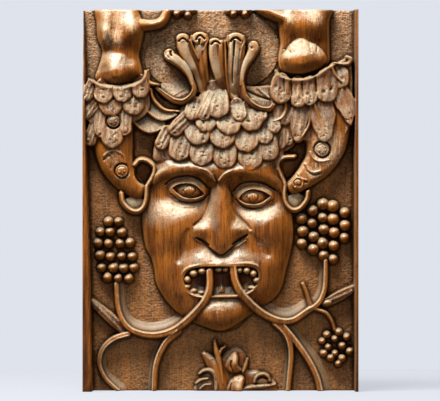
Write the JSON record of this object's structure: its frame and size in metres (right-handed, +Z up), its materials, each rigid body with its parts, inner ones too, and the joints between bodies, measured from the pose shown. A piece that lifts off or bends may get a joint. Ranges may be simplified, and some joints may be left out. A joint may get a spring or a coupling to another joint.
{
  "type": "carved green man mask panel",
  "caption": "Oak relief panel carved with a green man mask, leaf hair and crest, vines with grapes from its mouth and half figures above; fixed by its flat back.",
  "frame": {"origin": "centre of the flat back face, where the panel is fixed to a wall or a frame", "axes": "+X to the right of someone who faces the carving, +Z up, the carving looks along -Y and the back faces +Y"},
  "size_m": [0.375, 0.075, 0.52],
  "materials": {
    "oak": "dark waxed oak, polished on the raised parts, with grey dust on the ground and on what faces up"
  },
  "bodies": {
    "root": {"green_man_panel": "oak"}
  },
  "joints": []
}
